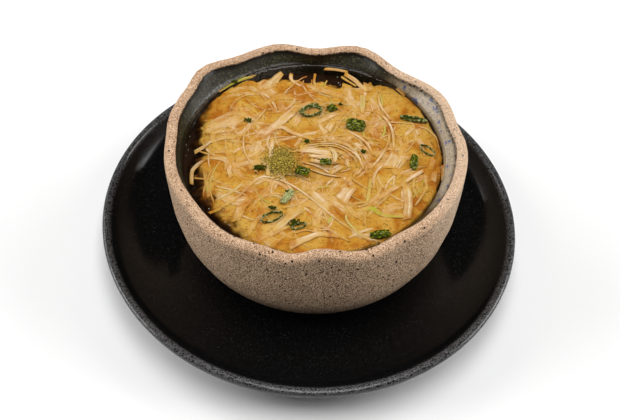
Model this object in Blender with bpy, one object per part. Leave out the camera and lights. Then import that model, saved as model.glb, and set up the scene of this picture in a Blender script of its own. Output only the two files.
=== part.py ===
"""Miso soup in a hand-made stoneware bowl, standing on its black stoneware plate.

Metres, +Z up. The origin is the centre of the plate's foot, on the table. Sizes below are in
millimetres, and MM turns them into metres.
"""

import math

import bmesh
import bpy

MM = 0.001
GAP = 0.3  # air left between two pieces that rest on each other

# Plate: (radius, height) from the middle of the underside, round the lip, to the middle of the well.
PLATE_RADIUS = 96.3
PLATE_FLOOR = 9.0
PLATE_OUT_OF_ROUND = 0.018  # the throwing left it a little longer from back to front
PLATE_LONG_WAY = math.radians(111)
FOOT_FLAT = (54.0, 60.0)
PLATE_PROFILE = (
    (0.0, 3.4),
    (51.5, 3.4),
    (53.4, 0.5),
    (FOOT_FLAT[0], 0.0),
    (FOOT_FLAT[1], 0.0),
    (60.8, 0.5),
    (63.5, 3.2),
    (79.0, 5.8),
    (88.9, 9.2),
    (94.0, 13.2),
    (95.9, 16.6),
    (PLATE_RADIUS, 18.7),
    (95.6, 19.8),
    (94.3, 20.0),
    (92.9, 19.4),
    (89.9, 16.2),
    (85.4, 12.8),
    (78.0, 10.2),
    (69.0, PLATE_FLOOR),
    (0.0, PLATE_FLOOR),
)
PLATE_STEPS = 60

# Bowl: a round body whose rim was pressed out at about ten places while the clay was soft.
BOWL_CENTRE = (2.9, -1.0)
BOWL_LEAN = (-1.0, -1.4)  # how far the foot stands off from under the rim's centre
RIM_HEIGHT = 65.0
RIM_RADIUS = 65.0
RIM_THICKNESS = 5.2
FOOT_HEIGHT = PLATE_FLOOR + GAP
# Rim outline: (degrees from +X, radius) at each pressed corner and in the hollow after it.
RIM_OUTLINE = (
    (2, 64.8),
    (13, 63.4),
    (31, 65.6),
    (53, 61.8),
    (74, 67.9),
    (92, 62.7),
    (109, 68.5),
    (124, 67.6),
    (140, 72.2),
    (153, 68.5),
    (164, 67.8),
    (180, 65.7),
    (197, 66.0),
    (215, 65.2),
    (235, 66.4),
    (250, 64.7),
    (261, 65.7),
    (272, 61.7),
    (289, 65.1),
    (305, 63.1),
    (317, 63.9),
    (345, 64.4),
)
# (radius, height, share): share is how much of the rim's outline shows at that height.
BOWL_FOOT = (
    (0.0, 11.6, 0.0),
    (34.0, 11.6, 0.0),
    (35.4, FOOT_HEIGHT, 0.0),
    (40.4, FOOT_HEIGHT, 0.0),
    (42.0, 10.9, 0.0),
)
BOWL_OUTSIDE = (
    (47.4, 11.9, 0.0),
    (51.4, 13.8, 0.0),
    (54.6, 17.4, 0.0),
    (57.8, 22.4, 0.0),
    (61.6, 31.0, 0.04),
    (63.7, 41.0, 0.18),
    (64.4, 50.0, 0.42),
    (64.8, 57.5, 0.75),
    (64.9, 62.8, 1.0),
    (64.4, 64.3, 1.0),
    (63.2, RIM_HEIGHT, 1.0),
    (61.3, RIM_HEIGHT, 1.0),
    (60.2, 64.4, 1.0),
    (RIM_RADIUS - RIM_THICKNESS, 63.2, 0.95),
)
INSIDE_RADIUS = 57.0  # of the round inside, from the waterline down
INSIDE_TOP = 58.5
INSIDE_DEPTH = 43.5
INSIDE_SQUARENESS = 3.0  # 2 is half an ellipse, more has steeper walls and a flatter bottom
INSIDE_CENTRE = (0.9, -0.4)
INSIDE_RINGS = 9
BOWL_STEPS = 76

# Soup: fills the round inside up to the waterline.
SOUP_LEVEL = 58.2
SOUP_STEPS = 56
SOUP_RINGS = 8

# Heap of shredded leek in the middle of the soup.
NEST_CENTRE = (3.6, -5.5)
NEST_RADII = (22.0, 14.0)
NEST_HEIGHT = 1.6
NEST_STEPS = 28

# Strips of white leek on the soup: name, width at its start and its end, and route (x, y).
LEEK_THICKNESS = 0.7
LEEK_STRIPS = (
    ("leek_fan_back_left", 3.0, 6.5, ((-15.9, 51.5), (-20.4, 44.0), (-24.4, 35.5))),
    ("leek_strip_centre_left", 4.5, 4.0, ((-25.4, 6.5), (-17.4, 15.0), (-11.9, 22.0), (-7.4, 28.5))),
    ("leek_strip_left", 5.0, 6.0, ((-45.4, 11.0), (-37.4, 15.5), (-29.9, 18.0))),
    ("leek_strip_left_low", 3.5, 2.5, ((-44.4, 4.0), (-38.9, 6.5), (-32.4, 7.0))),
    ("leek_loop_left", 2.2, 3.0, ((-49.4, -21.0), (-49.9, -13.0), (-45.4, -7.0))),
    ("leek_strip_front_left", 3.5, 4.5, ((-30.4, -40.0), (-27.9, -32.0), (-22.9, -25.5))),
    ("leek_strip_front", 3.0, 5.5, ((-13.4, -45.5), (-8.4, -39.5), (-1.9, -31.5))),
    ("leek_strip_centre", 3.6, 4.2, ((1.1, -22.5), (6.1, -28.0), (11.6, -36.0))),
    ("leek_block_centre", 6.0, 5.0, ((13.6, -29.0), (17.6, -20.5))),
    ("leek_strip_low", 2.0, 4.0, ((16.1, -47.5), (5.6, -46.0), (-0.9, -49.0), (-6.9, -53.0))),
    ("leek_strip_right", 3.0, 4.0, ((40.6, -16.0), (41.6, -26.0), (40.6, -36.5))),
    ("leek_block_right", 6.0, 6.0, ((33.1, -7.0), (37.1, 1.5))),
    ("leek_piece_back", 3.6, 3.2, ((7.1, 12.5), (9.6, 19.5))),
    ("leek_strip_back", 2.4, 3.2, ((14.6, 52.0), (19.6, 47.5), (25.1, 39.5))),
)
STRIP_SECTIONS = 5

# Cut scallion: name, centre, heading, outline (long, short), wall and height of the tube slice.
SCALLION_RINGS = (
    ("scallion_ring_back", (-0.2, 24.6), 20, (10.5, 6.4), 1.1, 1.8),
    ("scallion_arc_right", (45.4, 21.8), -18, (12.5, 4.2), 1.0, 1.6),
    ("scallion_ring_right", (50.8, 3.2), -50, (8.4, 4.4), 0.7, 1.4),
    ("scallion_ring_front", (-15.2, -37.9), 28, (9.4, 4.6), 0.8, 1.8),
    ("scallion_curl_front", (-3.7, -42.2), 25, (6.6, 3.2), 0.7, 1.5),
)
# Flattened lengths of green leaf: name, centre, heading, size (length, width, thickness).
SCALLION_LEAVES = (
    ("scallion_leaf_back", (8.8, 27.4), 35, (4.6, 4.4, 2.4)),
    ("scallion_leaf_back_right", (19.6, 16.8), -10, (9.4, 7.6, 3.0)),
    ("scallion_leaf_right", (44.6, -4.4), 84, (9.6, 3.6, 2.2)),
    ("scallion_leaf_centre", (6.6, -8.2), -5, (5.6, 4.2, 1.8)),
    ("scallion_leaf_dark", (-3.2, -13.4), -20, (6.6, 5.2, 2.2)),
    ("scallion_leaf_front_right", (29.4, -45.2), 12, (9.6, 4.4, 2.4)),
    ("scallion_leaf_pale", (-9.0, -26.4), 62, (9.5, 3.6, 1.4)),
)
RING_STEPS = 14
LEAF_WALL = 0.6


def clear_scene():
    for thing in list(bpy.data.objects):
        bpy.data.objects.remove(thing, do_unlink=True)


def material(name, colour, roughness, metallic=0.0):
    """A Principled material in linear RGB."""
    made = bpy.data.materials.new(name)
    made.use_nodes = True
    shader = made.node_tree.nodes["Principled BSDF"]
    shader.inputs["Base Color"].default_value = (*colour, 1.0)
    shader.inputs["Roughness"].default_value = roughness
    shader.inputs["Metallic"].default_value = metallic
    made.diffuse_color = (*colour, 1.0)
    return made


def add_object(name, mesh_builder, finish, smooth_below=40):
    """Turns a bmesh into an object with its material, smooth except at sharp edges."""
    bmesh.ops.recalc_face_normals(mesh_builder, faces=mesh_builder.faces)
    mesh = bpy.data.meshes.new(name)
    mesh_builder.to_mesh(mesh)
    mesh_builder.free()
    mesh.materials.append(finish)
    mesh.shade_smooth()
    mesh.set_sharp_from_angle(angle=math.radians(smooth_below))
    made = bpy.data.objects.new(name, mesh)
    bpy.context.scene.collection.objects.link(made)
    return made


def skin(rings):
    """A closed surface over rings of points in millimetres. A ring of one point closes an end."""
    mesh = bmesh.new()
    rows = [[mesh.verts.new([value * MM for value in point]) for point in ring] for ring in rings]
    for lower, upper in zip(rows, rows[1:]):
        count = max(len(lower), len(upper))
        for step in range(count):
            after = (step + 1) % count
            corners = [lower[step % len(lower)], lower[after % len(lower)]]
            corners += [upper[after % len(upper)], upper[step % len(upper)]]
            mesh.faces.new(list(dict.fromkeys(corners)))
    return mesh


def ring_points(steps, radius_at, height, centre=(0.0, 0.0)):
    """One ring, its radius a function of the angle, or a single point when that is None."""
    if radius_at is None:
        return [(centre[0], centre[1], height)]
    points = []
    for step in range(steps):
        angle = 2 * math.pi * step / steps
        radius = radius_at(angle)
        x = centre[0] + radius * math.cos(angle)
        y = centre[1] + radius * math.sin(angle)
        points.append((x, y, height))
    return points


def between(start, end, share):
    return start + (end - start) * share


def eased(share):
    """Runs from 0 to 1 with a level start and end."""
    return share * share * (3 - 2 * share)


def rim_offset(angle):
    """How far the rim lies outside its mean radius in this direction."""
    degrees = math.degrees(angle) % 360
    outline = RIM_OUTLINE + ((RIM_OUTLINE[0][0] + 360, RIM_OUTLINE[0][1]),)
    if degrees < outline[0][0]:
        degrees += 360
    for (start, from_radius), (end, to_radius) in zip(outline, outline[1:]):
        if degrees <= end:
            share = (degrees - start) / (end - start)
            return between(from_radius, to_radius, eased(share)) - RIM_RADIUS
    return 0.0


def plate(finish):
    def radius_at(radius):
        def at(angle):
            swell = PLATE_OUT_OF_ROUND * math.cos(2 * (angle - PLATE_LONG_WAY))
            return radius * (1 + swell * min(1.0, radius / PLATE_RADIUS))

        return at if radius else None

    rings = [ring_points(PLATE_STEPS, radius_at(radius), height) for radius, height in PLATE_PROFILE]
    return add_object("plate", skin(rings), finish)


def inside_profile(rings, inset=0.0):
    """The round inside of the bowl from the waterline to the middle, as (radius, height)."""
    points = []
    for ring in range(rings + 1):
        slope = math.pi / 2 * ring / rings
        radius = (INSIDE_RADIUS - inset) * math.cos(slope) ** (2 / INSIDE_SQUARENESS)
        height = INSIDE_TOP - (INSIDE_DEPTH - inset) * math.sin(slope) ** (2 / INSIDE_SQUARENESS)
        points.append((radius if ring < rings else 0.0, height))
    return points


def bowl(finish):
    rings = []
    for radius, height, share in BOWL_FOOT + BOWL_OUTSIDE:
        lean = (RIM_HEIGHT - height) / (RIM_HEIGHT - FOOT_HEIGHT)
        centre = [middle + shift * lean for middle, shift in zip(BOWL_CENTRE, BOWL_LEAN)]

        def radius_at(angle, radius=radius, share=share):
            return radius + share * rim_offset(angle)

        rings.append(ring_points(BOWL_STEPS, radius_at if radius else None, height, centre))
    for radius, height in inside_profile(INSIDE_RINGS):
        round_wall = (lambda angle, radius=radius: radius) if radius else None
        rings.append(ring_points(BOWL_STEPS, round_wall, height, INSIDE_CENTRE))
    return add_object("bowl", skin(rings), finish)


def soup(finish):
    """The liquid: a level top and the bowl's inside, less the gap."""
    wall = inside_profile(SOUP_RINGS, GAP)[1:]
    profile = [(0.0, SOUP_LEVEL), (INSIDE_RADIUS - GAP, SOUP_LEVEL)] + wall
    rings = []
    for radius, height in profile:
        round_wall = (lambda angle, radius=radius: radius) if radius else None
        rings.append(ring_points(SOUP_STEPS, round_wall, height, INSIDE_CENTRE))
    return add_object("soup", skin(rings), finish)


def nest_outline(angle):
    """The heap's uneven edge, as a share of its radii."""
    waves = ((0.07, 3, 0.6), (0.05, 5, 2.0), (0.03, 9, 0.0))
    return 1 + sum(size * math.sin(count * angle + start) for size, count, start in waves)


def nest_rise(share, angle):
    """Height of the heap at this share of the way from its middle to its edge."""
    lump = 1 + 0.18 * math.sin(4 * angle + 1.0) * share + 0.12 * math.sin(7 * angle) * share
    return NEST_HEIGHT * (1 - share**2) * lump


def leek_nest(finish):
    base = SOUP_LEVEL + GAP
    shares = (1.0, 0.85, 0.6, 0.3)
    rings = [[(*NEST_CENTRE, base)], []]
    rings += [[] for _ in shares]
    for step in range(NEST_STEPS):
        angle = 2 * math.pi * step / NEST_STEPS
        edge = [radius * nest_outline(angle) for radius in NEST_RADII]
        way = (math.cos(angle), math.sin(angle))
        rim = [middle + reach * part for middle, reach, part in zip(NEST_CENTRE, edge, way)]
        rings[1].append((*rim, base))
        for ring, share in zip(rings[2:], shares):
            place = [middle + share * reach * part for middle, reach, part in zip(NEST_CENTRE, edge, way)]
            ring.append((*place, base + 0.4 + nest_rise(share, angle)))
    rings.append([(*NEST_CENTRE, base + 0.4 + NEST_HEIGHT)])
    return add_object("leek_nest", skin(rings), finish, smooth_below=60)


def resting_height(x, y):
    """The height at which a piece lies here: on the heap, or on the soup."""
    across = (x - NEST_CENTRE[0]) / NEST_RADII[0]
    along = (y - NEST_CENTRE[1]) / NEST_RADII[1]
    share = math.hypot(across, along)
    on_soup = SOUP_LEVEL + GAP
    if share > 1.3:
        return on_soup
    return on_soup + 0.4 + GAP + 1.15 * NEST_HEIGHT * max(0.0, 1 - share**2)


def smooth_route(points, sections):
    """Points at even shares along a route, rounded off between its own points (Catmull-Rom)."""
    padded = [points[0]] + list(points) + [points[-1]]
    spans = len(points) - 1
    route = []
    for section in range(sections + 1):
        place = section / sections * spans
        span = min(int(place), spans - 1)
        t = place - span
        before, start, end, after = padded[span : span + 4]
        point = []
        for a, b, c, d in zip(before, start, end, after):
            bend = 2 * a - 5 * b + 4 * c - d
            twist = 3 * b - a - 3 * c + d
            point.append(0.5 * (2 * b + (c - a) * t + bend * t * t + twist * t**3))
        route.append(point)
    return route


def leek_strip(name, start_width, end_width, route, finish):
    """A flat shred, a little arched across its width."""
    base = SOUP_LEVEL + GAP
    points = smooth_route(route, STRIP_SECTIONS)
    rings = []
    for index, (x, y) in enumerate(points):
        ahead = points[min(index + 1, STRIP_SECTIONS)]
        behind = points[max(index - 1, 0)]
        length = math.dist(ahead, behind)
        side = ((behind[1] - ahead[1]) / length, (ahead[0] - behind[0]) / length)
        half = between(start_width, end_width, index / STRIP_SECTIONS) / 2
        rise = 0.5 * math.sin(math.pi * index / STRIP_SECTIONS)
        section = ((-half, 0.0), (0.0, 0.35), (half, 0.0))
        upper = tuple((across, up + LEEK_THICKNESS) for across, up in reversed(section))
        ring = []
        for across, up in section + upper:
            ring.append((x + side[0] * across, y + side[1] * across, base + rise + up))
        rings.append(ring)
    mesh = skin(rings)
    mesh.verts.ensure_lookup_table()
    corners = len(rings[0])
    mesh.faces.new([mesh.verts[corner] for corner in range(corners)])
    mesh.faces.new([mesh.verts[STRIP_SECTIONS * corners + corner] for corner in range(corners)])
    return add_object(name, mesh, finish)


def tube_slice(outline, wall, height):
    """An upright oval tube in millimetres, closed all round: outside up, inside down."""
    long_half, short_half = outline[0] / 2, outline[1] / 2
    rings = []
    for inset, level in ((0.0, 0.0), (0.0, height), (wall, height), (wall, 0.0)):
        ring = []
        for step in range(RING_STEPS):
            angle = 2 * math.pi * step / RING_STEPS
            uneven = 1 + 0.05 * math.sin(3 * angle + outline[0])
            x = (long_half * uneven - inset) * math.cos(angle)
            y = (short_half * uneven - inset) * math.sin(angle)
            ring.append((x, y, level))
        rings.append(ring)
    return skin(rings + rings[:1])


def weld(mesh):
    bmesh.ops.remove_doubles(mesh, verts=mesh.verts, dist=0.001 * MM)
    return mesh


def scallion_ring(name, centre, heading, outline, wall, height, finish):
    ring = add_object(name, weld(tube_slice(outline, wall, height)), finish)
    ring.location = (centre[0] * MM, centre[1] * MM, resting_height(*centre) * MM)
    ring.rotation_euler = (0, 0, math.radians(heading))
    return ring


def scallion_leaf(name, centre, heading, size, finish):
    """A length of leaf, pressed flat and lying on its side."""
    length, width, thickness = size
    mesh = weld(tube_slice((width, thickness), LEAF_WALL, length))
    leaf = add_object(name, mesh, finish)
    turn = math.radians(heading)
    lift = resting_height(*centre) + 0.55 * thickness
    back = length / 2
    leaf.location = (
        (centre[0] - back * math.cos(turn)) * MM,
        (centre[1] - back * math.sin(turn)) * MM,
        lift * MM,
    )
    leaf.rotation_euler = (math.radians(90), 0, turn + math.radians(90))
    return leaf


def build():
    clear_scene()
    black_glaze = material("black_glaze", (0.008, 0.007, 0.007), 0.42)
    stoneware = material("speckled_stoneware", (0.42, 0.28, 0.19), 0.8)
    broth = material("miso_broth", (0.56, 0.31, 0.09), 0.2)
    leek = material("white_leek", (0.80, 0.62, 0.34), 0.45)
    green = material("green_scallion", (0.05, 0.16, 0.02), 0.45)
    plate(black_glaze)
    bowl(stoneware)
    soup(broth)
    leek_nest(leek)
    for strip in LEEK_STRIPS:
        leek_strip(*strip, leek)
    for ring in SCALLION_RINGS:
        scallion_ring(*ring, green)
    for leaf in SCALLION_LEAVES:
        scallion_leaf(*leaf, green)


build()
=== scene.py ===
# %% [markdown]
# # Miso soup in a hand-made bowl
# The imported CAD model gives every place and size. It is loaded first and stays untouched.
# Each cell after it makes one real thing: a light, a pot, a shred of leek. Lengths are written
# in millimetres and turned to metres where a vertex is placed, unless a comment gives metres.

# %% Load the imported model
import math
import random
from functools import partial

import bpy
from mathutils import Matrix, Vector, noise


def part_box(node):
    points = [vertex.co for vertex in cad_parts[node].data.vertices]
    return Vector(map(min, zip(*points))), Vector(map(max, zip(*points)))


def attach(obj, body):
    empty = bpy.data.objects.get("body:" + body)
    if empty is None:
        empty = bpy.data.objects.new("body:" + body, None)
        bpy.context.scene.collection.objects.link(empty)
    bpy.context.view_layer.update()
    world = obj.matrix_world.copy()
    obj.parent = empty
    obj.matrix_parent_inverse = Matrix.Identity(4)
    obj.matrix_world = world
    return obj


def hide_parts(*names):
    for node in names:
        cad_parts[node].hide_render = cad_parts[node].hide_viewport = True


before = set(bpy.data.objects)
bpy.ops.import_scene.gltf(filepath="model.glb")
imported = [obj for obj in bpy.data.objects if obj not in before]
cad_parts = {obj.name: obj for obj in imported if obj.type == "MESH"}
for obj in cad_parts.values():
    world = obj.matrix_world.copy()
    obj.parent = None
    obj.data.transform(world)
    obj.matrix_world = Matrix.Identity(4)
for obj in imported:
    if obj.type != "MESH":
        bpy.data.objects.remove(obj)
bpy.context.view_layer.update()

MM = 0.001

# %% [markdown]
# ## Colours and shader nodes
# Blender keeps colours linear, while a paint chart gives them as sRGB, so one function turns
# hex values to linear ones. A material is a tree of nodes: one function adds a node with its
# settings and links. Most patterns here fade from one colour to another where a noise or a
# height passes some value, so that group of nodes has a function too.

# %% Colours and shader nodes
STEP = {"interpolation_type": "SMOOTHSTEP"}
ADD, SUBTRACT, MULTIPLY, MULTIPLY_ADD, DOT_PRODUCT = (
    {"operation": name} for name in ("ADD", "SUBTRACT", "MULTIPLY", "MULTIPLY_ADD", "DOT_PRODUCT")
)


def hex_colour(code):
    """A linear RGBA colour from an sRGB hex value such as C8914B."""
    parts = [int(code[i : i + 2], 16) / 255 for i in (0, 2, 4)]
    return [c / 12.92 if c < 0.04045 else ((c + 0.055) / 1.055) ** 2.4 for c in parts] + [1.0]


def plug(node, **sockets):
    """Fills a node's sockets, each given by name, or as _6 by place. A socket takes a value, a
    hex colour or another node's output."""
    for name, value in sockets.items():
        socket = node.inputs[int(name[1:]) if name[0] == "_" else name.replace("_", " ")]
        if isinstance(value, bpy.types.NodeSocket):
            node.id_data.links.new(value, socket)
        else:
            socket.default_value = hex_colour(value) if isinstance(value, str) else value


def add_node(material, kind, settings=None, out=0, stops=None, **sockets):
    """Adds a shader node with its settings and links. Gives back its first output, the output
    that out names, or the node itself where out is None."""
    made = material.node_tree.nodes.new("ShaderNode" + kind)
    for name, value in (settings or {}).items():
        setattr(made, name, value)
    if stops:
        ramp = made.color_ramp.elements
        while len(ramp) < len(stops):
            ramp.new(0.5)
        for element, (place, colour) in zip(ramp, stops):
            element.position, element.color = place, hex_colour(colour)
    plug(made, **sockets)
    return made if out is None else made.outputs[out]


def new_material(name):
    """An empty material, its Principled shader, and add_node for this material."""
    material = bpy.data.materials.new(name)
    material.use_nodes = True
    return material, material.node_tree.nodes["Principled BSDF"], partial(add_node, material)


def place_in_mm(add):
    """The shaded point's place on the object in mm, so that a pattern gets a real size."""
    metres = add("TexCoord", out="Object")
    return add("Mapping", Vector=metres, Scale=(1 / MM,) * 3)


def fade(add, before, after, *steps, strength=1.0):
    """A colour that turns from before to after where every step's value goes from its start to
    its end. The share that one step gives is the most that the next can reach. The strength may
    be a mask, and it is the share where there are no steps."""
    share = strength
    for value, start, end in steps:
        share = add("MapRange", STEP, Value=value, From_Min=start, From_Max=end, To_Max=share)
    return add("Mix", {"data_type": "RGBA"}, 2, Factor=share, _6=before, _7=after)


# %% [markdown]
# ## Pieces
# An operator acts on all that is selected, so everything is deselected before a primitive is
# added. A finished piece rides on the one body of this part and may stand for a node of the CAD
# model.

# %% Start, change and finish a piece


def deselect_all():
    if bpy.context.mode != "OBJECT":
        bpy.ops.object.mode_set(mode="OBJECT")
    bpy.ops.object.select_all(action="DESELECT")


def start_piece(name, primitive, **sizes):
    """Adds the primitive that a piece is shaped from."""
    deselect_all()
    primitive(**sizes)
    piece = bpy.context.active_object
    piece.name = piece.data.name = name
    return piece


def activate(piece):
    deselect_all()
    piece.select_set(True)
    bpy.context.view_layer.objects.active = piece


def modify(piece, kind, **settings):
    """Adds a modifier with these settings and applies it."""
    activate(piece)
    modifier = piece.modifiers.new(kind.title(), kind)
    for name, value in settings.items():
        setattr(modifier, name, value)
    bpy.ops.object.modifier_apply(modifier=modifier.name)


def turn_outwards():
    """Makes all faces of the piece in edit mode point outwards, and leaves edit mode."""
    bpy.ops.mesh.select_all(action="SELECT")
    bpy.ops.mesh.normals_make_consistent(inside=False)
    bpy.ops.object.mode_set(mode="OBJECT")


def smooth_surface(piece, levels):
    modify(piece, "SUBSURF", levels=levels, render_levels=levels)
    bpy.ops.object.shade_smooth()


def write_values(piece, name, values):
    """Gives each point of a piece a number that its material reads by this name."""
    piece.data.attributes.new(name, "FLOAT", "POINT").data.foreach_set("value", list(values))


def finish_piece(piece, material, slot, *nodes):
    """Gives a piece its material, its body and the CAD nodes that it stands for. The slot is not
    used.
    """
    piece.data.materials.clear()
    piece.data.materials.append(material)
    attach(piece, "root")
    if nodes:
        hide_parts(*nodes)
    size = [round(side / MM, 1) for side in piece.dimensions]
    print(f"{piece.name}: {len(piece.data.polygons)} faces, {size} mm")


# %% [markdown]
# ## Camera
# A camera is easiest to repeat when its axes are written out: where it stands, what it looks at,
# and how far it is rolled. This one looks down at the table at about fifty degrees.

# %% Place the camera
CAMERA_TARGET = Vector((0.75, -17.53, 40.0))
CAMERA_DISTANCE, CAMERA_ELEVATION, CAMERA_ROLL = 450.0, math.radians(49.61), math.radians(2.0)
SENSOR_WIDTH = 36.0
# A view 621 wide, seen from 1030 of the same units away.
FOCAL_LENGTH = 1030.0 / 621.0 * SENSOR_WIDTH

away = Vector((0, -math.cos(CAMERA_ELEVATION), math.sin(CAMERA_ELEVATION)))
side = Vector((1, 0, 0))
top = away.cross(side)
right = side * math.cos(CAMERA_ROLL) + top * math.sin(CAMERA_ROLL)
up = top * math.cos(CAMERA_ROLL) - side * math.sin(CAMERA_ROLL)
place = (CAMERA_TARGET + away * CAMERA_DISTANCE) * MM

deselect_all()
bpy.ops.object.camera_add(location=place)
camera = bpy.context.active_object
camera.rotation_euler = Matrix((right, up, away)).transposed().to_euler()
camera.data.sensor_width = SENSOR_WIDTH
camera.data.lens = FOCAL_LENGTH
camera.data.clip_start, camera.data.clip_end = 0.01, 20
bpy.context.scene.camera = camera
print("camera at", [round(x, 3) for x in place], "lens", round(FOCAL_LENGTH, 1))

# %% [markdown]
# ## Table and light
# A product table is a white sweep under large soft boxes. Two strong boxes stand at the left and
# right and one hangs overhead, so the front of the bowl is in its own shade and the plate's
# shadow is soft all round. Two weak ones behind give the black glaze something to reflect. The
# space straight behind stays dark, because it is what a wet surface shows to a camera that
# looks down on it.

# %% Table, world and soft boxes
table_top = start_piece("table_top", bpy.ops.mesh.primitive_plane_add, size=6)
white_card, shader, _ = new_material("white_card")
plug(shader, Base_Color="F7F7F7", Roughness=0.9, Specular_IOR_Level=0.0)
table_top.data.materials.append(white_card)

scene = bpy.context.scene
scene.view_settings.view_transform = "Standard"
scene.view_settings.look = "None"
scene.world = bpy.data.worlds.new("studio_air")
scene.world.use_nodes = True
plug(scene.world.node_tree.nodes["Background"], Color="FFFFFF", Strength=0.015)

SOFT_BOXES = (
    # name, place (m), width and height (m), power (W)
    ("box_left", (-1.0, 0.0, 0.55), (0.6, 0.5), 8.0),
    ("box_right", (1.0, 0.0, 0.55), (0.6, 0.5), 7.6),
    ("box_overhead", (0.05, 0.0, 1.1), (1.0, 0.5), 7.3),
    ("box_behind_left", (-0.84, 0.50, 0.66), (0.42, 0.30), 2.3),
    ("box_behind_right", (0.86, 0.40, 0.76), (0.36, 0.30), 2.0),
)
for name, box_place, (width, height), power in SOFT_BOXES:
    bpy.ops.object.light_add(type="AREA", location=box_place)
    box = bpy.context.active_object
    box.name = name
    box.data.shape = "RECTANGLE"
    box.data.size, box.data.size_y = width, height
    box.data.energy = power
    box.rotation_euler = (-Vector(box_place)).to_track_quat("-Z", "Y").to_euler()
print(len(SOFT_BOXES), "soft boxes")

# %% [markdown]
# ## Copies of the CAD pots
# The bowl and the plate have the right shape in CAD, but flat facets. So the loose triangles of
# a copy are welded, joined to quads and subdivided. The plate is rounded by Catmull-Clark, which
# pulls it in a little, so it is stretched back to its own width. The bowl's crisp rim is only
# divided, and its shading made smooth.

# %% Weld and refine a copy of a node


def refined_copy(node, name, kind, sharp_from):
    """A welded copy of a CAD node, subdivided by this kind. Edges that bend by sharp_from
    degrees or more stay sharp."""
    piece = bpy.data.objects.new(name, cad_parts[node].data.copy())
    scene.collection.objects.link(piece)
    activate(piece)
    bpy.ops.object.mode_set(mode="EDIT")
    bpy.ops.mesh.select_all(action="SELECT")
    bpy.ops.mesh.remove_doubles(threshold=1e-6)
    bpy.ops.mesh.customdata_custom_splitnormals_clear()
    bpy.ops.mesh.tris_convert_to_quads(face_threshold=0.7, shape_threshold=0.7)
    bpy.ops.mesh.select_all(action="DESELECT")
    bpy.ops.mesh.edges_select_sharp(sharpness=math.radians(sharp_from))
    bpy.ops.transform.edge_crease(value=0.6)
    bpy.ops.object.mode_set(mode="OBJECT")
    modify(piece, "SUBSURF", subdivision_type=kind, levels=2, render_levels=2)
    bpy.ops.object.shade_smooth_by_angle(angle=math.radians(sharp_from))
    return piece


plate = refined_copy("plate", "plate_fine", "CATMULL_CLARK", 50)
plate_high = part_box("plate")[1]
wide = max(v.co.x for v in plate.data.vertices), max(v.co.y for v in plate.data.vertices)
plate.data.transform(Matrix.Diagonal((plate_high.x / wide[0], plate_high.y / wide[1], 1, 1)))
bowl = refined_copy("bowl", "bowl_fine", "SIMPLE", 60)
print("plate", len(plate.data.polygons), "bowl", len(bowl.data.polygons))

# %% [markdown]
# ## Where the rim and the waterline are
# Later pieces need the bowl's inner wall: the broth ends on it, and the glaze starts below the
# rim's inner edge. Both are read from the CAD nodes, as a radius for every direction.

# %% Read the soup's outline and the rim's middle
soup_low, soup_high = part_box("soup")
CENTRE = Vector(((soup_low.x + soup_high.x) / 2, (soup_low.y + soup_high.y) / 2, 0)) / MM
WATER = soup_high.z / MM + 0.3  # the skin of the broth stands a little over the CAD's soup
RIM, PLATE_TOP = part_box("bowl")[1].z / MM, plate_high.z / MM


def around(x, y):
    """Direction in radians and distance in mm of a point from the bowl's middle."""
    return math.atan2(y - CENTRE.y, x - CENTRE.x), math.hypot(x - CENTRE.x, y - CENTRE.y)


def spot_at(turn, radius):
    """The point in mm that lies in this direction, this far from the bowl's middle."""
    return CENTRE.x + radius * math.cos(turn), CENTRE.y + radius * math.sin(turn)


def towards(turn, z=0.0):
    """A level direction as a vector, raised to this z."""
    return Vector((math.cos(turn), math.sin(turn), z))


def outline(points, choose, steps=72):
    """A radius in mm for each of some directions, picked from the points there by choose."""
    sectors = [[] for _ in range(steps)]
    for x, y in points:
        turn, radius = around(x, y)
        sectors[int(turn % math.tau / math.tau * steps) % steps].append(radius)
    filled = [choose(found) if found else None for found in sectors]
    return [filled[i] or filled[i - 1] or filled[(i + 1) % steps] for i in range(steps)]


def radius_at(ring, turn):
    """The radius of an outline in a direction given in radians."""
    place = (turn % math.tau) / math.tau * len(ring) - 0.5
    low = math.floor(place)
    share = place - low
    return ring[low % len(ring)] * (1 - share) + ring[(low + 1) % len(ring)] * share


def points_above(piece, height):
    return [(v.co.x / MM, v.co.y / MM) for v in piece.data.vertices if v.co.z / MM > height]


wall = outline(points_above(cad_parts["soup"], WATER - 0.5), max, 56)
rim_points = points_above(bowl, RIM - 0.5)
rim_middle = [(a + b) / 2 for a, b in zip(outline(rim_points, min), outline(rim_points, max))]
print(f"waterline at {WATER:.1f} mm, radius {min(wall):.1f} to {max(wall):.1f} mm")

# %% [markdown]
# ## Stoneware
# The clay is left bare outside: a sandy, buff body with iron specks that burnt through in the
# kiln, rough enough to show no highlight. The glaze inside starts just under the lip. It breaks
# from near black to a pale grey with blue flecks, where it ran thicker. An attribute tells the
# shader which faces look into the bowl, since a wavy rim has no single radius.

# %% Mark the glazed inside
FLOOR_BELOW = 14.5  # the floor inside the bowl lies over this height (mm)


def is_glazed(vertex):
    x, y, z = vertex.co / MM
    turn, radius = around(x, y)
    outward = towards(turn).dot(vertex.normal)
    return z > FLOOR_BELOW and radius < radius_at(rim_middle, turn) and outward < 0.3


glazed = [float(is_glazed(vertex)) for vertex in bowl.data.vertices]
write_values(bowl, "glazed", glazed)
print(sum(glazed), "glazed points of", len(glazed))

# %% Clay with sand and iron specks


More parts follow.
